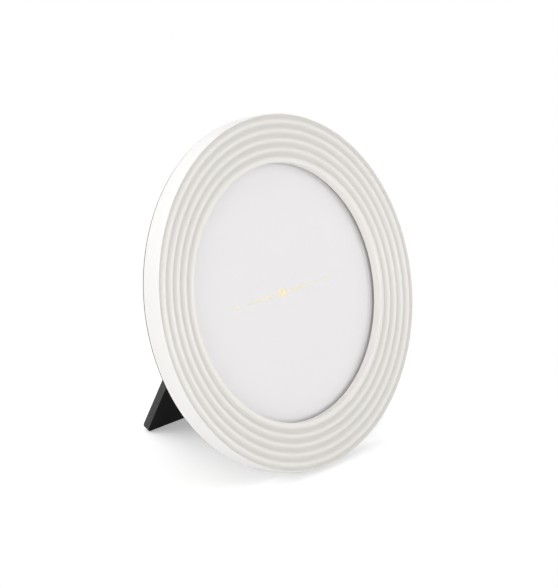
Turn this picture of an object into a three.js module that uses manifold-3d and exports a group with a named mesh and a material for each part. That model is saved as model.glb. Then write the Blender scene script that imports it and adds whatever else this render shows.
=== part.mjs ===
import * as THREE from "three";
import { mergeVertices } from "three/addons/utils/BufferGeometryUtils.js";
import Module from "manifold-3d";

// Round desk picture frame with a ribbed face, standing on its rim and a hinged easel leg.
// Millimetres. Everything is drawn upright about the ring's centre: X to the right, Y out of the back, Z up.
// The drawing is then leaned back and set down on the table.

// Ring
const openingDiameter = 101.6; // what shows of the picture
const lipWidth = 3.2; // plain inner lip, from the opening to the first valley
const ribPitch = 3.67;
const ribCount = 4; // whole ribs between the lip and the rim
const ribRise = 0.9; // from valley to crest
const rimWidth = 1.12; // from the last valley to the side wall
const ringDepth = 8.9; // from the back to the last valley
const dishAngle = 2.8; // the face falls this much towards the opening
const lipRound = 0.7;
const rimRound = 0.35;
const backRound = 1.2;
const ledgeWidth = 4; // the glass rests on this much of the ring
const ringSegments = 72;
const ribSteps = 6;

// Sheets in the ring
const glassThickness = 1.5;
const insertThickness = 0.6;
const boardThickness = 3;
const boardProud = 0.3; // the board stands this far out of the ring's back
const sheetGap = 0.2;
const sheetPlay = 0.4; // room round each sheet

// Stance
const leanAngle = 16.4;
const legOpening = 40; // between the back board and the open leg

// Easel leg
const legThickness = 3.3;
const legTopWidth = 23;
const legFootWidth = 43.2;
const legTopRound = 2;
const legFootRound = 3;
const toeFlat = 1.2; // the foot's front edge is cut level for this much

// Hinge
const pinHeight = 32.4; // above the ring's centre
const pinStandoff = 3.2; // behind the back board
const pinRadius = 0.9;
const pinHeadRadius = 1.4;
const pinHeadLength = 0.5;
const pinPlay = 0.15;
const metalGap = 0.2;
const bracketThickness = 0.8;
const bracketHeight = 14; // above the pin
const earSpacing = 16.6; // inside the two ears
const earRadius = 1.9;
const earFoot = 5.5; // the ear's reach up the bracket
const strapThickness = 0.7;
const strapLength = 18; // below the pin
const strapPlay = 0.3; // between the strap and each ear
const barrelRadius = 1.6;
const stopTabWidth = 3.4;
const stopGap = 0.3;

// Rivets
const rivetRadius = 1.2;
const rivetHeadRadius = 2.3;
const rivetHeadHeight = 0.7;
const rivetTailRadius = 1.9;
const rivetTailHeight = 0.35;
const rivetPlay = 0.2;
const rivetSpacing = 9.6; // between the two rivets of a pair
const bracketRivetHeight = 9.8; // above the pin
const strapRivetDrop = 11.5; // below the pin

// Turn buttons
const buttonAngles = { upper_right: 45, upper_left: 135, lower_left: 225, lower_right: 315 };
const buttonWidth = 9;
const buttonThickness = 0.8;
const buttonHold = 4.5; // reach over the back board
const buttonGap = 0.2;
const joggleRun = 1.8;
const screwRadius = 1;
const screwHeadRadius = 2.6;
const screwHeadHeight = 1.3;
const screwGrip = 5; // depth in the ring
const screwPlay = 0.3;
const recessWidth = 0.6;
const recessLength = 2.6;
const recessDepth = 0.7;

// Worked out from the sizes above
const rad = THREE.MathUtils.degToRad;
const openingRadius = openingDiameter / 2;
const firstValley = openingRadius + lipWidth;
const lastValley = firstValley + ribCount * ribPitch;
const ringRadius = lastValley + rimWidth;
const rabbetRadius = openingRadius + ledgeWidth;
const sheetRadius = rabbetRadius - sheetPlay;
const ledgeDepth = 3 * sheetGap + glassThickness + insertThickness + boardThickness - boardProud;
const glassFront = -ledgeDepth + sheetGap;
const insertFront = glassFront + glassThickness + sheetGap;
const boardFront = insertFront + insertThickness + sheetGap;
const boardBack = boardFront + boardThickness;
const lean = rad(leanAngle);
const opening = rad(legOpening);
const legTilt = opening - lean; // the leg from the vertical

const pinDepth = boardBack + pinStandoff;
const pinHole = pinRadius + pinPlay;
const bracketFront = boardBack + metalGap;
const bracketBack = bracketFront + bracketThickness;
const strapWidth = earSpacing - 2 * strapPlay;
const earOuter = earSpacing / 2 + bracketThickness;
const strapFront = barrelRadius - strapThickness; // behind the pin
const legBack = strapFront - metalGap;
const legFront = legBack - legThickness;
const legTop = -(earRadius + metalGap * 2);
const screwCircle = (rabbetRadius + ringRadius) / 2;
const buttonTop = buttonGap + buttonThickness;

const wasm = await Module();
wasm.setup();

const paint = {
  lacquer: new THREE.MeshStandardMaterial({ color: 0xece9e2, roughness: 0.45 }),
  glass: new THREE.MeshStandardMaterial({ color: 0xf2f5f4, roughness: 0.05, transparent: true, opacity: 0.25 }),
  card: new THREE.MeshStandardMaterial({ color: 0xe9e8ec, roughness: 0.8 }),
  boardBlack: new THREE.MeshStandardMaterial({ color: 0x17171a, roughness: 0.85 }),
  steel: new THREE.MeshStandardMaterial({ color: 0xb9b9b4, roughness: 0.35, metalness: 1 }),
  brass: new THREE.MeshStandardMaterial({ color: 0xb08d4a, roughness: 0.4, metalness: 1 }),
};

// Solids from geometry and back

function toSolid(geometry) {
  const bare = geometry.clone();
  bare.deleteAttribute("normal");
  bare.deleteAttribute("uv");
  const merged = mergeVertices(bare, 1e-4);
  const corners = [];
  for (let i = 0; i < merged.index.count; i += 3) {
    const [a, b, c] = [merged.index.getX(i), merged.index.getX(i + 1), merged.index.getX(i + 2)];
    if (a !== b && b !== c && c !== a) corners.push(a, b, c);
  }
  const vertProperties = new Float32Array(merged.attributes.position.array);
  return new wasm.Manifold(new wasm.Mesh({ numProp: 3, vertProperties, triVerts: new Uint32Array(corners) }));
}

function toGeometry(solid) {
  const { vertProperties, triVerts } = solid.getMesh();
  const geometry = new THREE.BufferGeometry();
  geometry.setAttribute("position", new THREE.BufferAttribute(vertProperties, 3));
  geometry.setIndex(new THREE.BufferAttribute(triVerts, 1));
  geometry.computeVertexNormals();
  return geometry;
}

// Drawing helpers

function arc(x, y, radius, fromDeg, toDeg, steps) {
  return Array.from({ length: steps + 1 }, (_, i) => {
    const angle = rad(fromDeg + ((toDeg - fromDeg) * i) / steps);
    return new THREE.Vector2(x + radius * Math.cos(angle), y + radius * Math.sin(angle));
  });
}

// An outline with rounded corners, each given as [x, y, radius] anticlockwise
function roundedOutline(corners) {
  const shape = new THREE.Shape();
  corners.forEach(([x, y, radius], i) => {
    const here = new THREE.Vector2(x, y);
    const before = new THREE.Vector2(...corners.at(i - 1)).sub(here).normalize();
    const after = new THREE.Vector2(...corners[(i + 1) % corners.length]).sub(here).normalize();
    const half = Math.acos(before.dot(after)) / 2;
    const centre = before.clone().add(after).setLength(radius / Math.sin(half)).add(here);
    const start = before.multiplyScalar(radius / Math.tan(half)).add(here).sub(centre);
    const end = after.multiplyScalar(radius / Math.tan(half)).add(here).sub(centre);
    shape.absarc(centre.x, centre.y, radius, start.angle(), end.angle(), false);
  });
  return shape;
}

function addHole(shape, x, y, radius) {
  const hole = new THREE.Path();
  hole.absarc(x, y, radius, 0, 2 * Math.PI, true);
  shape.holes.push(hole);
}

// A flat plate with its outline in X and Z, between two depths along Y
function plate(shape, front, back, curveSegments) {
  const geometry = new THREE.ExtrudeGeometry(shape, { depth: back - front, bevelEnabled: false, curveSegments });
  return geometry.rotateX(Math.PI / 2).translate(0, back, 0);
}

// A side view in Z and Y, cut out of a slab between two places along X
function slab(shape, left, right, curveSegments = 8) {
  const geometry = new THREE.ExtrudeGeometry(shape, { depth: right - left, bevelEnabled: false, curveSegments });
  return geometry.rotateY(-Math.PI / 2).translate(right, 0, 0);
}

function turned(profile, segments) {
  return new THREE.LatheGeometry(profile.map(([r, y]) => new THREE.Vector2(r, y)), segments);
}

function disc(radius, front, back) {
  const geometry = new THREE.CylinderGeometry(radius, radius, back - front, ringSegments);
  return geometry.translate(0, (front + back) / 2, 0);
}

function rod(radius, front, back, x, z) {
  const geometry = new THREE.CylinderGeometry(radius, radius, back - front, 16);
  return geometry.translate(x, (front + back) / 2, z);
}

function crossRod(radius, length) {
  return new THREE.CylinderGeometry(radius, radius, length, 16).rotateZ(Math.PI / 2);
}

// Ring

function faceHeight(r) {
  const valley = ringDepth - Math.tan(rad(dishAngle)) * (lastValley - r);
  const wave = r < firstValley - ribPitch / 2 ? 1 : (1 - Math.cos((2 * Math.PI * (r - firstValley)) / ribPitch)) / 2;
  return valley + ribRise * wave;
}

function ringProfile() {
  const lipTop = -faceHeight(openingRadius + lipRound);
  const rimTop = -faceHeight(ringRadius - rimRound);
  const steps = ribSteps * (ribCount + 0.5);
  const points = [new THREE.Vector2(openingRadius, -ledgeDepth)];
  points.push(...arc(openingRadius + lipRound, lipTop + lipRound, lipRound, 180, 270, 3));
  for (let i = 0; i <= steps; i++) {
    const r = firstValley - ribPitch / 2 + (i * ribPitch) / ribSteps;
    points.push(new THREE.Vector2(r, -faceHeight(r)));
  }
  points.push(...arc(ringRadius - rimRound, rimTop + rimRound, rimRound, 270, 360, 3));
  points.push(...arc(ringRadius - backRound, -backRound, backRound, 0, 90, 3));
  points.push(new THREE.Vector2(rabbetRadius, 0), new THREE.Vector2(rabbetRadius, -ledgeDepth));
  points.push(points[0].clone());
  return points;
}

function buttonPlaces() {
  return Object.entries(buttonAngles).map(([side, angle]) => ({
    side,
    turn: rad(90 - angle),
    x: screwCircle * Math.cos(rad(angle)),
    z: screwCircle * Math.sin(rad(angle)),
  }));
}

function makeRing(profile) {
  let ring = toSolid(new THREE.LatheGeometry(profile, ringSegments, Math.PI / ringSegments));
  for (const { x, z } of buttonPlaces()) {
    ring = ring.subtract(toSolid(rod(screwRadius + screwPlay, -screwGrip - screwPlay, 1, x, z)));
  }
  return toGeometry(ring);
}

// Back board, with a counterbore in front for the tail of each bracket rivet

function makeBoard() {
  const rivetZ = pinHeight + bracketRivetHeight;
  let board = toSolid(disc(sheetRadius, boardFront, boardBack));
  for (const x of [-rivetSpacing / 2, rivetSpacing / 2]) {
    const bore = rod(rivetRadius + rivetPlay, boardFront - 1, boardBack + 1, x, rivetZ);
    const sink = rod(rivetTailRadius + rivetPlay, boardFront - 1, boardFront + rivetTailHeight + rivetPlay, x, rivetZ);
    board = board.subtract(toSolid(bore)).subtract(toSolid(sink));
  }
  return toGeometry(board);
}

// Turn buttons: a stamped tab whose inner end is stepped up over the board

function makeButton() {
  const reach = screwCircle - rabbetRadius + buttonHold;
  const half = buttonWidth / 2;
  const round = half * 0.98;
  const outline = roundedOutline([
    [-half, -reach, round],
    [half, -reach, round],
    [half, half, round],
    [-half, half, round],
  ]);
  addHole(outline, 0, 0, screwRadius + screwPlay);
  const stepEnd = screwHeadRadius + joggleRun;
  const side = new THREE.Shape([
    new THREE.Vector2(half + 1, buttonGap),
    new THREE.Vector2(half + 1, buttonTop),
    new THREE.Vector2(-screwHeadRadius, buttonTop),
    new THREE.Vector2(-stepEnd, buttonTop + boardBack),
    new THREE.Vector2(-reach - 1, buttonTop + boardBack),
    new THREE.Vector2(-reach - 1, buttonGap + boardBack),
    new THREE.Vector2(-stepEnd, buttonGap + boardBack),
    new THREE.Vector2(-screwHeadRadius, buttonGap),
  ]);
  const flat = toSolid(plate(outline, -1, buttonTop + boardBack + 1, 6));
  return toGeometry(flat.intersect(toSolid(slab(side, -half - 1, half + 1))));
}

function makeScrew() {
  const seat = buttonTop + buttonGap;
  const top = seat + screwHeadHeight;
  const body = turned(
    [
      [0, -screwGrip],
      [screwRadius, -screwGrip + screwRadius * 1.5],
      [screwRadius, seat],
      [screwHeadRadius, seat],
      [screwHeadRadius, seat + screwHeadHeight * 0.45],
      [screwHeadRadius * 0.8, seat + screwHeadHeight * 0.85],
      [screwHeadRadius * 0.45, top],
      [0, top],
    ],
    16
  );
  const across = new THREE.BoxGeometry(recessLength, 2 * recessDepth, recessWidth).translate(0, top, 0);
  const along = new THREE.BoxGeometry(recessWidth, 2 * recessDepth, recessLength).translate(0, top, 0);
  return toGeometry(toSolid(body).subtract(toSolid(across)).subtract(toSolid(along)));
}

// Rivet with its head behind and its flat tail in front of what it clamps

function makeRivet(front, back) {
  const tail = front - metalGap / 2;
  const seat = back + metalGap;
  const profile = [
    [0, tail - rivetTailHeight],
    [rivetTailRadius, tail - rivetTailHeight],
    [rivetTailRadius, tail],
    [rivetRadius, tail],
    [rivetRadius, seat],
    [rivetHeadRadius, seat],
    [rivetHeadRadius * 0.85, seat + rivetHeadHeight * 0.6],
    [rivetHeadRadius * 0.5, seat + rivetHeadHeight],
    [0, seat + rivetHeadHeight],
  ];
  return turned(profile, 16);
}

// Hinge bracket: a base on the board and two ears for the pin

function makeBracket() {
  const base = roundedOutline([
    [-earOuter, pinHeight - earRadius, 0.4],
    [earOuter, pinHeight - earRadius, 0.4],
    [earOuter, pinHeight + bracketHeight, 3],
    [-earOuter, pinHeight + bracketHeight, 3],
  ]);
  for (const x of [-rivetSpacing / 2, rivetSpacing / 2]) {
    addHole(base, x, pinHeight + bracketRivetHeight, rivetRadius + rivetPlay);
  }
  const ear = new THREE.Shape();
  ear.moveTo(pinHeight - earRadius, bracketFront);
  ear.lineTo(pinHeight + earFoot, bracketFront);
  ear.lineTo(pinHeight + earFoot, bracketBack);
  ear.absarc(pinHeight, pinDepth, earRadius, Math.PI / 6, Math.PI, false);
  addHole(ear, pinHeight, pinDepth, pinHole);
  const left = toSolid(slab(ear, -earOuter, -earSpacing / 2));
  const right = toSolid(slab(ear, earSpacing / 2, earOuter));
  return toGeometry(toSolid(plate(base, bracketFront, bracketBack, 5)).add(left).add(right));
}

function makePin() {
  const shank = earOuter + metalGap;
  const end = shank + pinHeadLength;
  const profile = [
    [0, -end],
    [pinHeadRadius * 0.8, -end],
    [pinHeadRadius, -end + pinHeadLength * 0.4],
    [pinHeadRadius, -shank],
    [pinRadius, -shank],
    [pinRadius, shank],
    [pinHeadRadius, shank],
    [pinHeadRadius, end - pinHeadLength * 0.4],
    [pinHeadRadius * 0.8, end],
    [0, end],
  ];
  return turned(profile, 16).rotateZ(Math.PI / 2);
}

// Hinge strap, drawn with the leg hanging straight down from the pin: a plate on the back of the leg,
// rolled round the pin, with two tabs above it that meet the bracket when the leg is fully open

function makeStrap() {
  const half = strapWidth / 2;
  const gapToBase = pinDepth - bracketBack - stopGap;
  const tabHeight = (gapToBase + strapFront * Math.cos(opening)) / Math.sin(opening);
  const outline = roundedOutline([
    [-half, -strapLength, 3],
    [half, -strapLength, 3],
    [half, 0, 0.2],
    [-half, 0, 0.2],
  ]);
  for (const x of [-rivetSpacing / 2, rivetSpacing / 2]) {
    addHole(outline, x, -strapRivetDrop, rivetRadius + rivetPlay);
  }
  let strap = toSolid(plate(outline, strapFront, barrelRadius, 5)).add(toSolid(crossRod(barrelRadius, strapWidth - 2 * stopTabWidth)));
  for (const side of [-1, 1]) {
    const tab = new THREE.BoxGeometry(stopTabWidth, strapThickness, tabHeight + 1);
    tab.translate(side * (half - stopTabWidth / 2), strapFront + strapThickness / 2, (tabHeight - 1) / 2);
    strap = strap.add(toSolid(tab));
  }
  return toGeometry(strap.subtract(toSolid(crossRod(pinHole, strapWidth + 2))));
}

// Easel leg, drawn hanging straight down from the pin; its foot is cut square, and level at its front edge

function makeLeg(pinAboveTable) {
  const drop = (pinAboveTable + legFront * Math.sin(legTilt)) / Math.cos(legTilt);
  const length = drop + toeFlat * Math.sin(legTilt);
  const outline = roundedOutline([
    [-legFootWidth / 2, -length, legFootRound],
    [legFootWidth / 2, -length, legFootRound],
    [legTopWidth / 2, legTop, legTopRound],
    [-legTopWidth / 2, legTop, legTopRound],
  ]);
  for (const x of [-rivetSpacing / 2, rivetSpacing / 2]) {
    addHole(outline, x, -strapRivetDrop, rivetRadius + rivetPlay);
  }
  const board = toSolid(plate(outline, legFront, legBack, 6));
  const size = legFootWidth * 2;
  const table = new THREE.BoxGeometry(size, size, size).translate(0, 0, -size / 2 - pinAboveTable);
  return toGeometry(board.subtract(toSolid(table.rotateX(-legTilt))));
}

// Assembly

function addPiece(parent, name, geometry, material) {
  const mesh = new THREE.Mesh(geometry, material);
  mesh.name = name;
  parent.add(mesh);
  return mesh;
}

const profile = ringProfile();
const restRadius = Math.cos(Math.PI / ringSegments); // the ring rests on a flat between two corners
const tableLevel = Math.min(...profile.map((p) => -p.y * Math.sin(lean) - p.x * restRadius * Math.cos(lean)));
const pinLevel = pinHeight * Math.cos(lean) - pinDepth * Math.sin(lean);

const upright = new THREE.Group();
addPiece(upright, "frame_ring", makeRing(profile), paint.lacquer);
addPiece(upright, "glass_pane", disc(sheetRadius, glassFront, glassFront + glassThickness), paint.glass);
addPiece(upright, "photo_insert", disc(sheetRadius, insertFront, insertFront + insertThickness), paint.card);
addPiece(upright, "back_board", makeBoard(), paint.boardBlack);
addPiece(upright, "hinge_bracket", makeBracket(), paint.steel);
const pin = addPiece(upright, "hinge_pin", makePin(), paint.steel);
pin.position.set(0, pinDepth, pinHeight);
for (const [side, x] of [["left", -rivetSpacing / 2], ["right", rivetSpacing / 2]]) {
  const sunk = boardFront + rivetTailHeight + rivetPlay;
  const rivet = addPiece(upright, `bracket_rivet_${side}`, makeRivet(sunk, bracketBack), paint.steel);
  rivet.position.set(x, 0, pinHeight + bracketRivetHeight);
}

for (const { side, turn, x, z } of buttonPlaces()) {
  const place = new THREE.Group();
  place.position.set(x, 0, z);
  place.rotation.y = turn;
  addPiece(place, `turn_button_${side}`, makeButton(), paint.brass);
  addPiece(place, `button_screw_${side}`, makeScrew(), paint.brass);
  upright.add(place);
}

const leg = new THREE.Group();
leg.position.set(0, pinDepth, pinHeight);
leg.rotation.x = opening;
addPiece(leg, "easel_leg", makeLeg(pinLevel - tableLevel), paint.boardBlack);
addPiece(leg, "hinge_strap", makeStrap(), paint.steel);
for (const [side, x] of [["left", -rivetSpacing / 2], ["right", rivetSpacing / 2]]) {
  const rivet = addPiece(leg, `strap_rivet_${side}`, makeRivet(legFront, barrelRadius), paint.steel);
  rivet.position.set(x, 0, -strapRivetDrop);
}
upright.add(leg);

upright.rotation.x = -lean;
upright.position.z = -tableLevel;

// The origin lies on the table, midway between the front of the rim and the back of the leg
const frame = new THREE.Group();
frame.add(upright);
const reach = new THREE.Box3().setFromObject(frame, true);
upright.position.y = -(reach.min.y + reach.max.y) / 2;

export default frame;
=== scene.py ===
import math

import bpy
from mathutils import Matrix, Vector


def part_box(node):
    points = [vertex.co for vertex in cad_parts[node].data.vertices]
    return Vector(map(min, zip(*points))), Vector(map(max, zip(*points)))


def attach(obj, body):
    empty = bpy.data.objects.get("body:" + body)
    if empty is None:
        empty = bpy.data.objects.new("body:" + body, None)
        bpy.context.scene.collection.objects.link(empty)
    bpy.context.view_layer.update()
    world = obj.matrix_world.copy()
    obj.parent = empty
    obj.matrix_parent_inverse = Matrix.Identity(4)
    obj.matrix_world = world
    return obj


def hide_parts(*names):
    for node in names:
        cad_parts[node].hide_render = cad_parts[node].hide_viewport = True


# Round desk picture frame with a ribbed face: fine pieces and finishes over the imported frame.
# Metres, +Z up, the picture faces -Y. The sizes of pieces in the dictionaries are in millimetres.

mm = 0.001
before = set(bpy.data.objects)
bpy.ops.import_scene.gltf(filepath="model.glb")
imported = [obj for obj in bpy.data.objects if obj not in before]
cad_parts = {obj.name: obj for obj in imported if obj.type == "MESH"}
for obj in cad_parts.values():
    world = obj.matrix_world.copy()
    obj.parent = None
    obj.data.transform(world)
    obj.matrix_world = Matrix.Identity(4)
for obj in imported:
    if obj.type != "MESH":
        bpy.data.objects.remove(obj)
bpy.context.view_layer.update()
print("stage: frame loaded")

# Places, taken from the frame

stance = {
    "lean": 16.4,  # degrees, as the tilt of the leg
    "legTilt": 23.6,
    "boardMiddle": -1.2,
    "pinDepth": 3.5,
    "pinHeight": 32.4,
}
lean = math.radians(stance["lean"])
legTilt = math.radians(stance["legTilt"])
leanTurn = Matrix.Rotation(-lean, 4, "X")
boardLow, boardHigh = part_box("back_board")
ringCentre = (boardLow + boardHigh) / 2 - leanTurn @ Vector((0, stance["boardMiddle"] * mm, 0))
pinLow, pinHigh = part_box("hinge_pin")
pinCentre = (pinLow + pinHigh) / 2

# Three drawings, each with X right, Y out of the back and Z up: the frame's, the hinge's and the leg's

upright = Matrix.Translation(ringCentre) @ leanTurn
onPin = upright @ Matrix.Translation(Vector((0, stance["pinDepth"], stance["pinHeight"])) * mm)
legPlace = Matrix.Translation(pinCentre) @ Matrix.Rotation(legTilt, 4, "X")

# Modelling helpers, with their distances in millimetres

near = 0.1  # how close to a place a corner or edge counts as being there
onCut = 0.01  # the same for the corners of a cut
cutTolerance = 0.001
weldTolerance = 0.002
cleanTolerance = 0.004
runsAlong = 0.9  # share of an axis in the direction of an edge that runs along it
softAngle = 35  # edges that turn by more degrees than this are rounded
smoothAngle = 35


def deselectAll():
    if bpy.context.object and bpy.context.object.mode != "OBJECT":
        bpy.ops.object.mode_set(mode="OBJECT")
    bpy.ops.object.select_all(action="DESELECT")


def editNew():  # the primitive just added: its place goes into the mesh, and it opens in edit mode
    piece = bpy.context.object
    bpy.ops.object.transform_apply(location=True, rotation=True, scale=True)
    bpy.ops.object.mode_set(mode="EDIT")
    return piece


def pick(kind, test):  # selects the corners, edges or faces whose middle passes the test
    mesh = bpy.context.object.data
    bpy.ops.mesh.select_mode(type=kind)
    bpy.ops.mesh.select_all(action="DESELECT")
    bpy.ops.object.mode_set(mode="OBJECT")
    if kind == "VERT":
        for corner in mesh.vertices:
            corner.select = test(corner.co / mm)
    elif kind == "EDGE":
        for edge in mesh.edges:
            a, b = (mesh.vertices[i].co for i in edge.vertices)
            edge.select = test((a + b) / 2 / mm, (b - a).normalized())
    else:
        for face in mesh.polygons:
            face.select = test(face.center / mm, face.normal)
    bpy.ops.object.mode_set(mode="EDIT")


def pull(x=0.0, y=0.0, z=0.0):
    bpy.ops.transform.translate(value=(x * mm, y * mm, z * mm))


def extrude(x=0.0, y=0.0, z=0.0):
    bpy.ops.mesh.extrude_region_move(TRANSFORM_OT_translate={"value": (x * mm, y * mm, z * mm)})


def cut(at, direction, clearOuter=False, fill=False):
    bpy.ops.mesh.select_all(action="SELECT")
    bpy.ops.mesh.bisect(
        plane_co=Vector(at) * mm, plane_no=direction, clear_outer=clearOuter, use_fill=fill,
        threshold=cutTolerance * mm,
    )


def useModifier(piece, kind, **settings):
    if piece.mode != "OBJECT":
        bpy.ops.object.mode_set(mode="OBJECT")
    modifier = piece.modifiers.new(kind.capitalize(), kind)
    for setting, value in settings.items():
        setattr(modifier, setting, value)
    bpy.ops.object.modifier_apply(modifier=modifier.name)


def softenEdges(piece, width, segments=2):
    useModifier(
        piece, "BEVEL", width=width * mm, segments=segments, limit_method="ANGLE",
        angle_limit=math.radians(softAngle),
    )


def addPlane(left, right, bottom, top, y):  # a sheet in the drawing's X and Z
    deselectAll()
    middle = Vector(((left + right) / 2, y, (bottom + top) / 2)) * mm
    bpy.ops.mesh.primitive_plane_add(size=1, location=middle, rotation=(math.pi / 2, 0, 0))
    bpy.context.object.scale = ((right - left) * mm, (top - bottom) * mm, 1)
    return editNew()


def turnProfile(points, steps):  # points are radius and depth; the axis is the drawing's Y
    deselectAll()
    firstRadius, firstDepth = points[0]
    bpy.ops.mesh.primitive_plane_add(size=mm, location=(firstRadius * mm, firstDepth * mm, 0))
    piece = editNew()
    bpy.ops.mesh.select_mode(type="VERT")
    bpy.ops.mesh.select_all(action="SELECT")
    bpy.ops.mesh.merge(type="CENTER")
    for (radius, depth), (nextRadius, nextDepth) in zip(points, points[1:]):
        extrude(x=nextRadius - radius, y=nextDepth - depth)
    bpy.ops.mesh.select_all(action="SELECT")
    bpy.ops.mesh.spin(steps=steps, angle=2 * math.pi, center=(0, 0, 0), axis=(0, 1, 0))
    bpy.ops.mesh.select_all(action="SELECT")
    bpy.ops.mesh.remove_doubles(threshold=weldTolerance * mm)
    bpy.ops.mesh.normals_make_consistent(inside=False)
    bpy.ops.object.mode_set(mode="OBJECT")
    return piece


def arcPoints(x, y, radius, start, end, steps):
    turns = [math.radians(start + (end - start) * i / steps) for i in range(steps + 1)]
    return [(x + radius * math.cos(turn), y + radius * math.sin(turn)) for turn in turns]


def place(piece, name, where, body, materials, nodes, smooth=smoothAngle):
    deselectAll()
    piece.name = name
    piece.data.name = name
    piece.select_set(True)
    bpy.context.view_layer.objects.active = piece
    piece.matrix_world = where
    bpy.ops.object.transform_apply(location=True, rotation=True, scale=True)
    bpy.ops.object.shade_smooth_by_angle(angle=math.radians(smooth))
    for material in materials:
        piece.data.materials.append(material)
    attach(piece, body)
    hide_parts(*nodes)


def copyOf(piece):
    twin = piece.copy()
    twin.data = piece.data.copy()
    bpy.context.scene.collection.objects.link(twin)
    return twin


# Shader helpers

class Wire:  # a node's output, worked with as if it were a number
    def __init__(self, shader, socket):
        self.shader = shader
        self.socket = socket

    def maths(self, operation, *values):
        return self.shader.node("ShaderNodeMath", {"operation": operation}, dict(enumerate(values)))

    def __add__(self, other):
        return self.maths("ADD", self, other)

    def __radd__(self, other):
        return self.maths("ADD", other, self)

    def __sub__(self, other):
        return self.maths("SUBTRACT", self, other)

    def __rsub__(self, other):
        return self.maths("SUBTRACT", other, self)

    def __mul__(self, other):
        return self.maths("MULTIPLY", self, other)

    def __rmul__(self, other):
        return self.maths("MULTIPLY", other, self)

    def __truediv__(self, other):
        return self.maths("DIVIDE", self, other)

    def __pow__(self, other):
        return self.maths("POWER", self, other)

    def __abs__(self):
        return self.maths("ABSOLUTE", self)

    def cosine(self):
        return self.maths("COSINE", self)

    def atLeast(self, other):
        return self.maths("MAXIMUM", self, other)

    def rise(self, low, high):  # 0 below low, 1 above high, smooth between
        return self.shader.node(
            "ShaderNodeMapRange", {"interpolation_type": "SMOOTHSTEP"},
            {"Value": self, "From Min": low, "From Max": high},
        )


class Shader:
    def __init__(self, tree):
        self.tree = tree
        tree.nodes.clear()

    def node(self, kind, settings=None, values=None, output=0):
        made = self.tree.nodes.new(kind)
        for key, value in (settings or {}).items():
            setattr(made, key, value)
        for key, value in (values or {}).items():
            socket = made.inputs[key]
            if isinstance(value, Wire):
                self.tree.links.new(value.socket, socket)
            elif isinstance(value, tuple) and socket.type == "RGBA":
                socket.default_value = (*value, 1)
            else:
                socket.default_value = value
        return Wire(self, made.outputs[output] if made.outputs else None)

    def split(self, vector):
        parts = self.node("ShaderNodeSeparateXYZ", None, {0: vector})
        return [Wire(self, parts.socket.node.outputs[i]) for i in range(3)]

    def blend(self, factor, first, second):  # a Mix node has its colours in sockets 6 and 7, its result in 2
        return self.node("ShaderNodeMix", {"data_type": "RGBA"}, {0: factor, 6: first, 7: second}, output=2)

    def onObject(self):
        return self.node("ShaderNodeTexCoord", output="Object")

    def inDrawing(self):  # object coordinates turned into the frame's drawing, in millimetres
        settings = {"operation": "SUBTRACT"}
        moved = self.node("ShaderNodeVectorMath", settings, {0: self.onObject(), 1: tuple(ringCentre)})
        turned = self.node(
            "ShaderNodeVectorRotate", {"rotation_type": "X_AXIS"}, {"Vector": moved, "Angle": lean}
        )
        return self.node("ShaderNodeVectorMath", {"operation": "SCALE"}, {0: turned, "Scale": 1 / mm})

    def noise(self, size, detail, roughness=0.5):  # size of its patches in millimetres
        values = {
            "Vector": self.onObject(), "Scale": 1 / (size * mm), "Detail": detail, "Roughness": roughness,
        }
        return self.node("ShaderNodeTexNoise", None, values)

    def bump(self, height, distance, strength):  # distance in millimetres
        values = {"Strength": strength, "Distance": distance * mm, "Height": height}
        return self.node("ShaderNodeBump", None, values)

    def surface(self, values):
        self.finish(self.node("ShaderNodeBsdfPrincipled", None, values))

    def finish(self, shader):
        self.node("ShaderNodeOutputMaterial", None, {"Surface": shader})


def newMaterial(name):
    material = bpy.data.materials.new(name)
    material.use_nodes = True
    return material, Shader(material.node_tree)


# White satin lacquer on the ring, with painted shade in the rib valleys and painted light on the outer side
# wall

lacquer = {
    "colour": (0.818, 0.796, 0.768),
    # the valley colour is painted shade: the lacquer made darker in the valleys between the ribs
    "valleyShadeColour": (0.62, 0.602, 0.572),
    "valleyShadeDepth": 0.78,
    # the side colour is painted light: the same lacquer made lighter on the outer side wall
    "sideLightColour": (0.865, 0.85, 0.842),
    "agedColour": (0.72, 0.69, 0.63),
    "agedShare": 0.03,
    "agedSpread": 0.1,
    "cloud": 26,
    "valleyShadeSpread": 0.3,
    "frontFade": (1.6, 2.4),  # how far behind the outermost valley the painted valley shade ends
    "sideLightFade": (0.5, 0.1),  # inside the rim, where the painted light of the side wall begins
    "roughness": 0.37,
    "cloudRoughness": 0.06,
    "peelRoughness": 0.05,
    "orangePeel": 1.1,
    "peelHeight": 0.012,
    "peelStrength": 0.6,
    "ior": 1.45,
}


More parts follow.
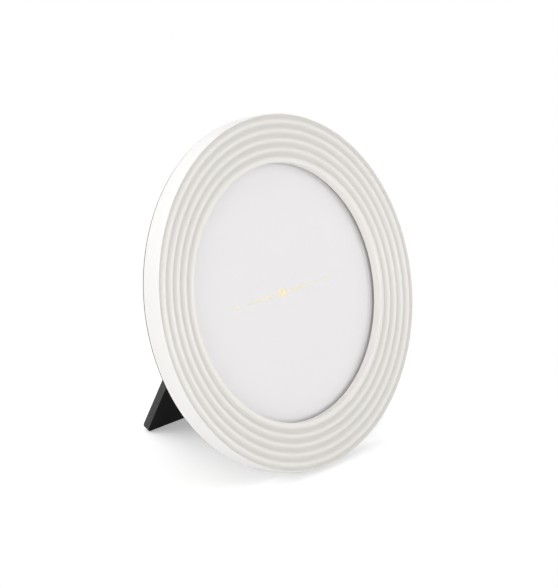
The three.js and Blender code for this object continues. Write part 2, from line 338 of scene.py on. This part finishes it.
def makeLacquer(ring):
    material, s = newMaterial("satinLacquer")
    x, y, z = s.split(s.inDrawing())
    radius = (x * x + z * z) ** 0.5
    valley, pitch, rim = ring["firstValley"], ring["ribPitch"], ring["rimRadius"]
    wave = 0.5 + 0.5 * (2 * math.pi / pitch * (radius - valley)).cosine()  # 1 in a valley, 0 on a crest
    onRibs = radius.rise(valley - pitch / 2, valley - pitch / 4)
    fadeStart, fadeEnd = lacquer["frontFade"]
    front = 1 - y.rise(-ring["depth"] + fadeStart, -ring["depth"] + fadeEnd)
    cloud = s.noise(lacquer["cloud"], detail=3)
    peel = s.noise(lacquer["orangePeel"], detail=2)
    spread = lacquer["valleyShadeSpread"]
    # painted shade: the rib valleys are darkened, unevenly through the cloud, on the front face only
    paintedValleyShade = wave * onRibs * front * lacquer["valleyShadeDepth"] * (1 - spread / 2 + spread * cloud)
    colour = s.blend(paintedValleyShade, lacquer["colour"], lacquer["valleyShadeColour"])
    # painted light: the outer side wall is made lighter and more neutral than the face
    sideLightStart, sideLightEnd = lacquer["sideLightFade"]
    colour = s.blend(radius.rise(rim - sideLightStart, rim - sideLightEnd), colour, lacquer["sideLightColour"])
    aged = lacquer["agedShare"] + lacquer["agedSpread"] * (cloud - 0.5)
    colour = s.blend(aged, colour, lacquer["agedColour"])
    roughness = lacquer["roughness"] + cloud * lacquer["cloudRoughness"] + peel * lacquer["peelRoughness"]
    s.surface({
        "Base Color": colour, "Roughness": roughness, "IOR": lacquer["ior"],
        "Normal": s.bump(peel, lacquer["peelHeight"], lacquer["peelStrength"]),
    })
    return material


# Clear pane

pane = {"tint": (0.99, 0.992, 0.99), "headOn": 0.04, "edgeOnPower": 5, "roughness": 0.02}


def makeGlass():
    material, s = newMaterial("clearPane")
    facing = s.node("ShaderNodeLayerWeight", None, {"Blend": 0.5}, output="Facing")
    fromInside = s.node("ShaderNodeNewGeometry", output="Backfacing")
    shine = pane["headOn"] + (1 - pane["headOn"]) * facing ** pane["edgeOnPower"]
    shine = shine * (1 - fromInside)
    clear = s.node("ShaderNodeBsdfTransparent", None, {"Color": pane["tint"]})
    mirror = s.node("ShaderNodeBsdfGlossy", None, {"Color": (1.0, 1.0, 1.0), "Roughness": pane["roughness"]})
    s.finish(s.node("ShaderNodeMixShader", None, {0: shine, 1: clear, 2: mirror}))
    return material


# Matt card with a small foil ornament: a lozenge between two tapered lines that each end at a dot

card = {
    "colour": (0.845, 0.82, 0.833),
    "grey": (0.78, 0.775, 0.79),
    "fibre": 0.5,
    "fibreHeight": 0.01,
    "fibreShare": 0.05,
    "cloud": 30,
    "cloudShare": 0.04,
    "roughness": 0.75,
    "foilRoughness": 0.35,
    "specular": 0.3,
    "foil": (0.62, 0.51, 0.22),
    "lozenge": (3.0, 1.9),
    "lozengeLine": 0.66,
    "lozengeMiddle": 0.34,
    "lineStart": 5.0,
    "lineEnd": 23.0,
    "lineHalf": 0.26,
    "dotPlace": 25.4,
    "dotRadius": 0.55,
    "edge": 0.05,  # half the width over which the foil ends
}


def makeCard():
    material, s = newMaterial("printedCard")
    x, y, z = s.split(s.inDrawing())
    across, high = abs(x), abs(z)
    edge = card["edge"]

    def inside(distance, limit):
        return 1 - distance.rise(limit - edge, limit + edge)

    lozenge = across / card["lozenge"][0] + high / card["lozenge"][1]
    diamond = inside(lozenge, 1.0) - inside(lozenge, card["lozengeLine"])
    diamond = diamond + inside(lozenge, card["lozengeMiddle"])
    start, end = card["lineStart"], card["lineEnd"]
    along = (across - start) / (end - start)
    line = inside(high - (1 - along) * card["lineHalf"], 0.0) * across.rise(start - edge, start + edge)
    line = line * inside(across, end)
    dot = inside((((across - card["dotPlace"]) ** 2) + z * z) ** 0.5, card["dotRadius"])
    foil = diamond.atLeast(line).atLeast(dot)
    fibre = s.noise(card["fibre"], detail=3, roughness=0.6)
    greyed = fibre * card["fibreShare"] + s.noise(card["cloud"], detail=2) * card["cloudShare"]
    paper = s.blend(greyed, card["colour"], card["grey"])
    s.surface({
        "Base Color": s.blend(foil, paper, card["foil"]), "Metallic": foil,
        "Roughness": card["roughness"] - foil * (card["roughness"] - card["foilRoughness"]),
        "Normal": s.bump(fibre, card["fibreHeight"], strength=0.5), "Specular IOR Level": card["specular"],
    })
    return material


# Black covering of the board and leg, and the bare edge of the board under it

covering = {
    "colour": (0.004, 0.004, 0.0042),
    "worn": (0.011, 0.011, 0.0114),
    "wornFrom": 0.45,
    "wornTo": 0.8,
    "wornShare": 0.3,
    "cloud": 18,
    "grain": 0.34,
    "grainShare": 0.15,
    "cell": 0.55,
    "grainHeight": 0.03,
    "grainRoughness": 0.12,
    "roughness": 0.62,
    "specular": 0.12,
}
boardEdge = {
    "colour": (0.095, 0.094, 0.092),
    "dark": (0.045, 0.045, 0.045),
    "layer": 0.35,
    "layerFrom": 0.35,
    "layerTo": 0.7,
    "layerHeight": 0.05,
    "speckColour": (0.08, 0.079, 0.077),
    "speck": 1.6,
    "speckFrom": 0.5,
    "speckTo": 0.75,
    "speckShare": 0.35,
    "roughness": 0.85,
    "specular": 0.25,
}


def makeCovering():
    material, s = newMaterial("blackCovering")
    grain = s.noise(covering["grain"], detail=3, roughness=0.55)
    cellValues = {"Vector": s.onObject(), "Scale": 1 / (covering["cell"] * mm)}
    cells = s.node("ShaderNodeTexVoronoi", None, cellValues)
    worn = s.noise(covering["cloud"], detail=3).rise(covering["wornFrom"], covering["wornTo"])
    paled = worn * covering["wornShare"] + grain * covering["grainShare"]
    s.surface({
        "Base Color": s.blend(paled, covering["colour"], covering["worn"]),
        "Roughness": covering["roughness"] + grain * covering["grainRoughness"],
        "Normal": s.bump((grain + cells) * 0.5, covering["grainHeight"], strength=0.7),
        "Specular IOR Level": covering["specular"],
    })
    return material


def makeBoardEdge():
    material, s = newMaterial("greyBoardEdge")
    layers = s.noise(boardEdge["layer"], detail=4, roughness=0.7)
    paled = layers.rise(boardEdge["layerFrom"], boardEdge["layerTo"])
    specks = s.noise(boardEdge["speck"], detail=2).rise(boardEdge["speckFrom"], boardEdge["speckTo"])
    colour = s.blend(paled, boardEdge["dark"], boardEdge["colour"])
    s.surface({
        "Base Color": s.blend(specks * boardEdge["speckShare"], colour, boardEdge["speckColour"]),
        "Roughness": boardEdge["roughness"], "Specular IOR Level": boardEdge["specular"],
        "Normal": s.bump(layers, boardEdge["layerHeight"], strength=0.8),
    })
    return material


# Plated metals

steel = {"colour": (0.44, 0.44, 0.43), "dull": (0.25, 0.25, 0.24), "roughness": 0.27}
brass = {"colour": (0.55, 0.39, 0.16), "dull": (0.33, 0.22, 0.09), "roughness": 0.25}
plating = {
    "cloud": 4,
    "dullFrom": 0.35,
    "dullTo": 0.8,
    "dullShare": 0.5,
    "cloudRoughness": 0.14,
    "fine": 0.25,
    "fineRoughness": 0.05,
    "fineHeight": 0.01,
}


def makeMetal(name, finish):
    material, s = newMaterial(name)
    cloud = s.noise(plating["cloud"], detail=4, roughness=0.6)
    fine = s.noise(plating["fine"], detail=2)
    dulled = cloud.rise(plating["dullFrom"], plating["dullTo"]) * plating["dullShare"]
    roughened = cloud * plating["cloudRoughness"] + fine * plating["fineRoughness"]
    s.surface({
        "Base Color": s.blend(dulled, finish["colour"], finish["dull"]),
        "Metallic": 1.0, "Roughness": finish["roughness"] + roughened,
        "Normal": s.bump(fine, plating["fineHeight"], strength=0.35),
    })
    return material


# Ribbed ring: one profile, turned

ring = {
    "openingRadius": 50.8,
    "lipWidth": 3.2,
    "ribPitch": 3.67,
    "ribCount": 4,
    "ribRise": 0.9,
    "rimWidth": 1.12,
    "depth": 8.9,
    "dish": 2.8,  # degrees by which the face falls towards the opening
    "lipRound": 0.7,
    "rimRound": 0.35,
    "backRound": 1.2,
    "rabbetRound": 0.3,
    "ledgeWidth": 4.0,
    "ledgeDepth": 5.4,
    "ledgeBevel": 0.15,
    "ribSteps": 18,
    "lipSteps": 8,
    "rimSteps": 6,
    "backSteps": 12,
    "rabbetSteps": 3,
    "turnSteps": 288,
    "smoothAngle": 30,
    "coverFrom": 0.07,  # how far a face has to look back to be covered
    "restScale": math.cos(math.pi / 72),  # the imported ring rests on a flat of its 72 sides
}
ring["firstValley"] = ring["openingRadius"] + ring["lipWidth"]
ring["lastValley"] = ring["firstValley"] + ring["ribCount"] * ring["ribPitch"]
ring["rimRadius"] = ring["lastValley"] + ring["rimWidth"]


def faceHeight(radius):  # of the ribbed face in front of the ring's back
    valley = ring["depth"] - math.tan(math.radians(ring["dish"])) * (ring["lastValley"] - radius)
    phase = 2 * math.pi * (radius - ring["firstValley"]) / ring["ribPitch"]
    wave = 1 if radius < ring["firstValley"] - ring["ribPitch"] / 2 else (1 - math.cos(phase)) / 2
    return valley + ring["ribRise"] * wave


def makeRing():
    opening, rim, pitch = ring["openingRadius"], ring["rimRadius"], ring["ribPitch"]
    lip, edge, back, rabbet = ring["lipRound"], ring["rimRound"], ring["backRound"], ring["rabbetRound"]
    rabbetRadius, ledge, bevel = opening + ring["ledgeWidth"], ring["ledgeDepth"], ring["ledgeBevel"]
    points = [(opening, -ledge + bevel)]
    points += arcPoints(opening + lip, -faceHeight(opening + lip) + lip, lip, 180, 270, ring["lipSteps"])
    firstCrest = ring["firstValley"] - pitch / 2
    for i in range(round(ring["ribSteps"] * (ring["ribCount"] + 0.5)) + 1):
        radius = firstCrest + i * pitch / ring["ribSteps"]
        points.append((radius, -faceHeight(radius)))
    points += arcPoints(rim - edge, -faceHeight(rim - edge) + edge, edge, 270, 360, ring["rimSteps"])
    points += arcPoints(rim - back, -back, back, 0, 90, ring["backSteps"])
    points += arcPoints(rabbetRadius + rabbet, -rabbet, rabbet, 90, 180, ring["rabbetSteps"])
    points += [(rabbetRadius, -ledge), (opening + bevel, -ledge), points[0]]
    rest = ring["restScale"]
    piece = turnProfile([(radius * rest, depth) for radius, depth in points], ring["turnSteps"])
    for face in piece.data.polygons:  # black covers the back and its rounded edge
        covered = face.center.y > -back * mm and face.normal.y > ring["coverFrom"]
        face.material_index = 1 if covered else 0
    materials = [satinLacquer, blackCovering]
    place(piece, "ribbed_ring", upright, "frame", materials, ["frame_ring"], ring["smoothAngle"])


satinLacquer = makeLacquer(ring)
blackCovering = makeCovering()
makeRing()
print("stage: ring")

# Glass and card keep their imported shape

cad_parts["glass_pane"].data.materials.clear()
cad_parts["glass_pane"].data.materials.append(makeGlass())
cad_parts["photo_insert"].data.materials.clear()
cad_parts["photo_insert"].data.materials.append(makeCard())
print("stage: glass and card")

greyEdge = makeBoardEdge()
zincSteel = makeMetal("zincSteel", steel)
satinBrass = makeMetal("satinBrass", brass)


def bareEdges(piece, limit):  # faces that look along Y by less than the limit show the bare board
    for face in piece.data.polygons:
        face.material_index = 1 if abs(face.normal.y) < limit else 0


# Back board

board = {
    "radius": 54.4,
    "front": -2.7,
    "back": 0.3,
    "edge": 0.25,
    "edgeSteps": 3,
    "turnSteps": 192,
    "bareLimit": 0.3,
}


def makeBoard():
    edge, steps = board["edge"], board["edgeSteps"]
    flatRadius = board["radius"] - edge
    points = [(0, board["front"])]
    points += arcPoints(flatRadius, board["front"] + edge, edge, 270, 360, steps)
    points += arcPoints(flatRadius, board["back"] - edge, edge, 0, 90, steps)
    points += [(0, board["back"])]
    piece = turnProfile(points, board["turnSteps"])
    bareEdges(piece, board["bareLimit"])
    place(piece, "covered_board", upright, "frame", [blackCovering, greyEdge], ["back_board"])


makeBoard()
print("stage: back board")

# Easel leg

leg = {
    "front": -2.6,
    "thickness": 3.3,
    "top": -2.3,
    "topWidth": 23.0,
    "footWidth": 43.2,
    "topRound": 2.0,
    "footRound": 3.0,
    "roundSteps": 8,
    "toeFlat": 1.2,  # where the foot rests on the table
    "edge": 0.18,
    "bareLimit": 0.5,
}


def makeLeg():
    pinAboveTable = pinCentre.z / mm
    drop = (pinAboveTable + leg["front"] * math.sin(legTilt)) / math.cos(legTilt)
    length = drop + leg["toeFlat"] * math.sin(legTilt)
    half, front, thickness = leg["footWidth"] / 2, leg["front"], leg["thickness"]
    piece = addPlane(-half, half, -length, leg["top"], front + thickness)
    bpy.ops.mesh.select_all(action="SELECT")
    extrude(y=-thickness)
    middle = (leg["top"] - length) / 2
    pick("VERT", lambda at: at.z > middle)
    narrow = leg["topWidth"] / leg["footWidth"]
    bpy.ops.transform.resize(value=(narrow, 1, 1), center_override=(0, 0, 0))
    for atFoot, radius in ((True, leg["footRound"]), (False, leg["topRound"])):
        pick("EDGE", lambda at, way: abs(way.y) > runsAlong and (at.z < middle) == atFoot)
        bpy.ops.mesh.bevel(offset=radius * mm, segments=leg["roundSteps"], affect="EDGES")
    bpy.ops.mesh.select_all(action="SELECT")
    bpy.ops.mesh.normals_make_consistent(inside=False)
    softenEdges(piece, leg["edge"])
    bpy.ops.object.mode_set(mode="EDIT")
    down = Vector((0, -math.sin(legTilt), -math.cos(legTilt)))  # straight down once the leg is in place
    cut(down * pinAboveTable, down, clearOuter=True, fill=True)
    bpy.ops.object.mode_set(mode="OBJECT")
    bareEdges(piece, leg["bareLimit"])
    place(piece, "covered_leg", legPlace, "leg", [blackCovering, greyEdge], ["easel_leg"])


makeLeg()
print("stage: easel leg")

# Hinge bracket: bent sheet with two ears, drawn about the pin

bracket = {
    "thickness": 0.8,
    "sheet": -2.6,  # middle of the sheet in front of the pin's axis
    "halfWidth": 9.1,
    "top": 14.0,
    "bottom": -1.9,
    "earTop": 5.5,
    "earRadius": 1.9,
    "earFlat": 0.05,
    "slit": 0.6,  # between the ear and the corner over it
    "bend": 0.9,
    "bendSteps": 5,
    "cornerRound": 3.0,
    "roundSteps": 8,
    "edge": 0.14,
}


def makeBracket():
    side, top, earTop, sheet = bracket["halfWidth"], bracket["top"], bracket["earTop"], bracket["sheet"]
    bend, earEnd, steps = bracket["bend"], bracket["earRadius"], bracket["roundSteps"]
    bendStart = side - bracket["thickness"] / 2 - bend
    cornerStart = earTop + bracket["slit"]
    piece = addPlane(0, bendStart, bracket["bottom"], top, sheet)
    for height in (cornerStart, earTop):
        cut((0, 0, height), (0, 0, 1))
    pick("EDGE", lambda at, way: at.x > bendStart - near and at.z > cornerStart + near)
    extrude(x=side - bendStart)
    pick("VERT", lambda at: at.x > side - near and at.z > top - near)
    bpy.ops.mesh.bevel(offset=bracket["cornerRound"] * mm, segments=steps, affect="VERTICES")
    pick("EDGE", lambda at, way: abs(at.x - bendStart) < near and at.z < earTop and abs(way.z) > runsAlong)
    arc = arcPoints(0, 0, bend, 270, 360, bracket["bendSteps"])
    for (x, y), (nextX, nextY) in zip(arc, arc[1:]):
        extrude(x=nextX - x, y=nextY - y)
    extrude(y=earEnd - (sheet + bend))
    pick("VERT", lambda at: at.y > earEnd - near and at.z > earTop - near)
    pull(z=earEnd - earTop)
    pick("VERT", lambda at: at.y > earEnd - near)
    bpy.ops.mesh.bevel(offset=(earEnd - bracket["earFlat"]) * mm, segments=steps, affect="VERTICES")
    useModifier(piece, "MIRROR", use_clip=True)
    useModifier(piece, "SOLIDIFY", thickness=bracket["thickness"] * mm, offset=0, use_even_offset=True)
    softenEdges(piece, bracket["edge"])
    place(piece, "bent_bracket", onPin, "frame", [zincSteel], ["hinge_bracket"])


makeBracket()

# Hinge strap: a plate on the leg, rolled round the pin between two stop tabs

strap = {
    "thickness": 0.6,
    "sheet": 1.27,
    "halfWidth": 8.0,
    "length": 18.0,
    "tabWidth": 3.4,
    "tabHeight": 4.0,
    "tabRound": 0.5,
    "tabSteps": 3,
    "slit": 0.3,  # between a tab and the roll
    "cornerRound": 3.0,
    "roundSteps": 8,
    "rollEnd": 285,  # degrees
    "rollSteps": 24,
    "edge": 0.12,
}


def makeStrap():
    half, sheet, length, tabHeight = strap["halfWidth"], strap["sheet"], strap["length"], strap["tabHeight"]
    rollHalf = half - strap["tabWidth"]
    tabStart = rollHalf + strap["slit"]
    piece = addPlane(-half, half, -length, 0, sheet)
    pick("VERT", lambda at: at.z < -length + near)
    bpy.ops.mesh.bevel(offset=strap["cornerRound"] * mm, segments=strap["roundSteps"], affect="VERTICES")
    for x in (-tabStart, -rollHalf, rollHalf, tabStart):
        cut((x, 0, 0), (1, 0, 0))
    pick("EDGE", lambda at, way: at.z > -near and abs(at.x) > tabStart)
    extrude(z=tabHeight)
    pick("VERT", lambda at: at.z > tabHeight - near)
    bpy.ops.mesh.bevel(offset=strap["tabRound"] * mm, segments=strap["tabSteps"], affect="VERTICES")
    pick("EDGE", lambda at, way: abs(at.z) < near and abs(at.x) < rollHalf and abs(way.x) > runsAlong)
    arc = arcPoints(0, 0, sheet, 0, strap["rollEnd"], strap["rollSteps"])
    for (y, z), (nextY, nextZ) in zip(arc, arc[1:]):
        extrude(y=nextY - y, z=nextZ - z)
    useModifier(piece, "SOLIDIFY", thickness=strap["thickness"] * mm, offset=0, use_even_offset=True)
    softenEdges(piece, strap["edge"])
    place(piece, "rolled_strap", legPlace, "leg", [zincSteel], ["hinge_strap"])


makeStrap()

# Hinge pin with peened ends

pin = {
    "radius": 0.88,
    "headRadius": 1.4,
    "headLength": 0.5,
    "shank": 9.3,
    "crown": ((0, 0), (0.55, 0.04), (0.86, 0.16), (1, 0.34)),  # share of the head's radius, drop from its top
    "turnSteps": 32,
}


def makePin():
    radius, head, shank = pin["radius"], pin["headRadius"], pin["shank"]
    end = shank + pin["headLength"]
    half = [(head * share, end - drop) for share, drop in pin["crown"]] + [(head, shank), (radius, shank)]
    points = half + [(r, -depth) for r, depth in reversed(half)]
    piece = turnProfile(points, pin["turnSteps"])
    across = onPin @ Matrix.Rotation(math.pi / 2, 4, "Z")
    place(piece, "peened_pin", across, "frame", [zincSteel], ["hinge_pin"])


makePin()

# Rivets: a domed head behind, a flat tail in front of what they clamp

rivet = {
    "radius": 1.2,
    "headRadius": 2.3,
    "headHeight": 0.7,
    "brim": 0.12,
    "tailRadius": 1.9,
    "tailHeight": 0.35,
    "tailBevel": 0.15,
    "gap": 0.2,
    "seatGap": 0.02,
    "domeSteps": 8,
    "turnSteps": 40,
    "spacing": 9.6,
    "bracketHeight": 9.8,
    "bracketTail": -5.65,  # the bottom of its counterbore in the board
    "strapDrop": 11.5,
}


def makeRivet(front, back):
    tail = front - rivet["gap"] / 2
    tailEnd, tailRadius, bevel = tail - rivet["tailHeight"], rivet["tailRadius"], rivet["tailBevel"]
    seat = back + rivet["seatGap"]
    head, brim = rivet["headRadius"], rivet["brim"]
    height = rivet["headHeight"] + rivet["gap"] - rivet["seatGap"]
    points = [
        (0, tailEnd),
        (tailRadius - bevel, tailEnd),
        (tailRadius, tailEnd + bevel),
        (tailRadius, tail),
        (rivet["radius"], tail),
        (rivet["radius"], seat),
        (head, seat),
    ]
    for i in range(rivet["domeSteps"]):
        turn = math.pi / 2 * i / rivet["domeSteps"]
        points.append((head * math.cos(turn), seat + brim + (height - brim) * math.sin(turn)))
    points.append((0, seat + height))
    return turnProfile(points, rivet["turnSteps"])


def placeRivets(where, body, name, front, back, height):
    model = makeRivet(front, back)
    for side, x in (("left", -rivet["spacing"] / 2), ("right", rivet["spacing"] / 2)):
        piece = model if side == "right" else copyOf(model)
        spot = where @ Matrix.Translation(Vector((x, 0, height)) * mm)
        place(piece, f"domed_{name}_{side}", spot, body, [zincSteel], [f"{name}_{side}"])


bracketBack = bracket["sheet"] + bracket["thickness"] / 2
placeRivets(onPin, "frame", "bracket_rivet", rivet["bracketTail"], bracketBack, rivet["bracketHeight"])
strapBack = strap["sheet"] + strap["thickness"] / 2
placeRivets(legPlace, "leg", "strap_rivet", leg["front"], strapBack, -rivet["strapDrop"])
print("stage: hinge")

# Turn buttons and their screws

button = {
    "width": 9.0,
    "reach": 12.0,
    "thickness": 0.8,
    "gap": 0.2,
    "step": 0.3,
    "stepStart": 2.6,
    "stepEnd": 4.4,
    "stepShape": (0.146, 0.5, 0.854, 1.0),  # shares of the step along its length
    "endRound": 0.98,  # share of half its width
    "roundSteps": 12,
    "edge": 0.16,
    "edgeSteps": 3,
    "circle": 62.3,
    "angles": {"upper_right": 45, "upper_left": 135, "lower_left": 225, "lower_right": 315},
}
screw = {
    "radius": 1.0,
    "headRadius": 2.6,
    "headHeight": 1.3,
    "headFlatness": 0.8,
    "bevel": 0.12,
    "brim": 0.45,
    "seatGap": 0.03,
    "domeSteps": 10,
    "turnSteps": 40,
    "grip": 5.0,
    "tip": 1.5,  # length of its point, in radii
    "recessWidth": 0.62,
    "recessLength": 2.7,
    "recessDepth": 0.75,
    "recessTaper": 0.55,
}


def makeButton():
    half = button["width"] / 2
    middle = button["gap"] + button["thickness"] / 2
    piece = addPlane(-half, half, -button["reach"], half, middle)
    bpy.ops.mesh.select_mode(type="VERT")
    bpy.ops.mesh.select_all(action="SELECT")
    endRadius = half * button["endRound"]
    bpy.ops.mesh.bevel(offset=endRadius * mm, segments=button["roundSteps"], affect="VERTICES")
    run, steps = button["stepEnd"] - button["stepStart"], len(button["stepShape"])
    heights = [-button["stepStart"] - run * i / steps for i in range(steps + 1)]
    for height in heights:
        cut((0, 0, height), (0, 0, 1))
    for height, share in zip(heights[1:], button["stepShape"]):  # the last one moves the rest of the tab too
        if share < 1:
            pick("VERT", lambda at: abs(at.z - height) < onCut)
        else:
            pick("VERT", lambda at: at.z < height + onCut)
        pull(y=button["step"] * share)
    useModifier(piece, "SOLIDIFY", thickness=button["thickness"] * mm, offset=0, use_even_offset=True)
    softenEdges(piece, button["edge"], button["edgeSteps"])
    return piece


def makeScrew():
    seat = button["gap"] + button["thickness"] + screw["seatGap"]
    head, height = screw["headRadius"], screw["headHeight"] + button["gap"] - screw["seatGap"]
    radius, grip, bevel, brim = screw["radius"], screw["grip"], screw["bevel"], screw["brim"]
    points = [
        (0, -grip),
        (radius, -grip + radius * screw["tip"]),
        (radius, seat),
        (head - bevel, seat),
        (head, seat + bevel),
    ]
    for i in range(screw["domeSteps"]):
        turn = math.pi / 2 * i / screw["domeSteps"]
        across = head * math.cos(turn) ** screw["headFlatness"]
        points.append((across, seat + brim + (height - brim) * math.sin(turn)))
    points.append((0, seat + height))
    piece = turnProfile(points, screw["turnSteps"])
    length, depth, width = screw["recessLength"], screw["recessDepth"], screw["recessWidth"]
    taper = screw["recessTaper"]
    for turn in (0, math.pi / 2):  # the two slots of the cross
        deselectAll()
        bpy.ops.mesh.primitive_cube_add(size=1, location=(0, (seat + height) * mm, 0), rotation=(0, turn, 0))
        bpy.context.object.scale = (length * mm, 2 * depth * mm, width * mm)
        slot = editNew()
        pick("FACE", lambda at, normal: normal.y < -runsAlong)
        bpy.ops.transform.resize(value=(taper, 1, taper))
        bpy.ops.object.mode_set(mode="OBJECT")
        bpy.ops.object.select_all(action="DESELECT")
        piece.select_set(True)
        bpy.context.view_layer.objects.active = piece
        useModifier(piece, "BOOLEAN", operation="DIFFERENCE", object=slot, solver="EXACT")
        bpy.data.objects.remove(slot)
    bpy.ops.object.mode_set(mode="EDIT")
    bpy.ops.mesh.select_all(action="SELECT")
    bpy.ops.mesh.remove_doubles(threshold=cleanTolerance * mm)
    bpy.ops.mesh.dissolve_degenerate(threshold=cleanTolerance * mm)
    bpy.ops.object.mode_set(mode="OBJECT")
    return piece


def placeButtons():
    tab, fixing = makeButton(), makeScrew()
    for side, degrees in button["angles"].items():
        angle = math.radians(degrees)
        spot = Vector((math.cos(angle), 0, math.sin(angle))) * button["circle"] * mm
        where = upright @ Matrix.Translation(spot) @ Matrix.Rotation(math.radians(90 - degrees), 4, "Y")
        last = side == "lower_right"
        place(
            tab if last else copyOf(tab), f"pressed_button_{side}", where, f"button_{side}",
            [satinBrass], [f"turn_button_{side}"],
        )
        place(
            fixing if last else copyOf(fixing), f"cross_screw_{side}", where, "frame",
            [satinBrass], [f"button_screw_{side}"],
        )


placeButtons()
print("stage: turn buttons and screws")

# Floor, world, lights and camera

studio = {  # metres
    "floorSize": 30.0,
    "floorColour": (0.98, 0.98, 0.98),
    "floorBounce": (0.87, 0.87, 0.87),
    "floorGlow": 0.3,
    "shadeEnds": (0.03, 0.17),  # from here to there the seen floor turns plain white
    "worldLight": 0.25,
    "aim": (0, 0, 0.06),  # what the lamps point at
}
lamps = {  # metres and watts
    "leftBack": {"at": (-1.3, 0.8, 1.3), "size": 1.2, "power": 9.0},
    "leftFront": {"at": (-1.7, -0.6, 0.4), "size": 1.2, "power": 8.7},
    "leftLow": {"at": (-1.8, 0.05, 0.35), "size": 1.2, "power": 3.0},
    "front": {"at": (-0.5, -1.9, 0.25), "size": 1.2, "power": 15.0},
    "rightFront": {"at": (1.3, -1.2, 0.4), "size": 1.2, "power": 5.0},
    "top": {"at": (0.0, 0.4, 1.7), "size": 2.0, "power": 7.0},
    "topFront": {"at": (0.0, -0.7, 1.6), "size": 1.6, "power": 6.0},
    "topBack": {"at": (0.0, 1.1, 1.4), "size": 1.4, "power": 7.0},
}
view = {
    "eye": (-0.6238, -0.59452, 0.35603),
    "azimuth": -47.108,
    "elevation": 18.765,
    "lens": 140.8,  # millimetres, as is the sensor
    "sensor": 36,
    "clipStart": 0.01,
}


def seenDirectly(s):  # 1 for what the camera sees, also in a mirror or through glass
    outputs = s.node("ShaderNodeLightPath").socket.node.outputs
    names = ("Is Camera Ray", "Is Glossy Ray", "Is Transmission Ray")
    camera, glossy, through = (Wire(s, outputs[name]) for name in names)
    return camera.atLeast(glossy).atLeast(through)


def makeStudio():
    world = bpy.data.worlds.new("studio")
    bpy.context.scene.world = world
    world.use_nodes = True
    s = Shader(world.node_tree)
    strength = seenDirectly(s) * (1 - studio["worldLight"]) + studio["worldLight"]
    backdrop = s.node("ShaderNodeBackground", None, {"Color": (1.0, 1.0, 1.0), "Strength": strength})
    s.node("ShaderNodeOutputWorld", None, {"Surface": backdrop})

    deselectAll()
    bpy.ops.mesh.primitive_plane_add(size=studio["floorSize"])
    floor = bpy.context.object
    floor.name = "floor"
    material, s = newMaterial("paleFloor")
    bounce = s.node("ShaderNodeBsdfDiffuse", None, {"Color": studio["floorBounce"]})
    plain = s.node("ShaderNodeBsdfDiffuse", None, {"Color": studio["floorColour"]})
    glow = s.node("ShaderNodeEmission", None, {"Color": (1.0, 1.0, 1.0), "Strength": studio["floorGlow"]})
    shaded = s.node("ShaderNodeAddShader", None, {0: plain, 1: glow})
    white = s.node("ShaderNodeEmission", None, {"Color": (1.0, 1.0, 1.0), "Strength": 1.0})
    x, y, z = s.split(s.onObject())
    away = ((x * x + y * y) ** 0.5).rise(*studio["shadeEnds"])
    seen = s.node("ShaderNodeMixShader", None, {0: away, 1: shaded, 2: white})
    s.finish(s.node("ShaderNodeMixShader", None, {0: seenDirectly(s), 1: bounce, 2: seen}))
    floor.data.materials.append(material)

    aim = Vector(studio["aim"])
    for name, lamp in lamps.items():
        at = Vector(lamp["at"])
        turn = (aim - at).to_track_quat("-Z", "Y").to_euler()
        bpy.ops.object.light_add(type="AREA", location=at, rotation=turn)
        light = bpy.context.object
        light.name = f"{name}_softbox"
        light.data.shape = "SQUARE"
        light.data.size = lamp["size"]
        light.data.energy = lamp["power"]


def makeCamera():
    turn = (math.radians(90 - view["elevation"]), 0, math.radians(view["azimuth"]))
    bpy.ops.object.camera_add(location=view["eye"], rotation=turn)
    camera = bpy.context.object
    camera.data.lens = view["lens"]
    camera.data.sensor_width = view["sensor"]
    camera.data.clip_start = view["clipStart"]
    bpy.context.scene.camera = camera


makeStudio()
makeCamera()
bpy.context.scene.view_settings.view_transform = "Standard"
print("stage: studio and camera")
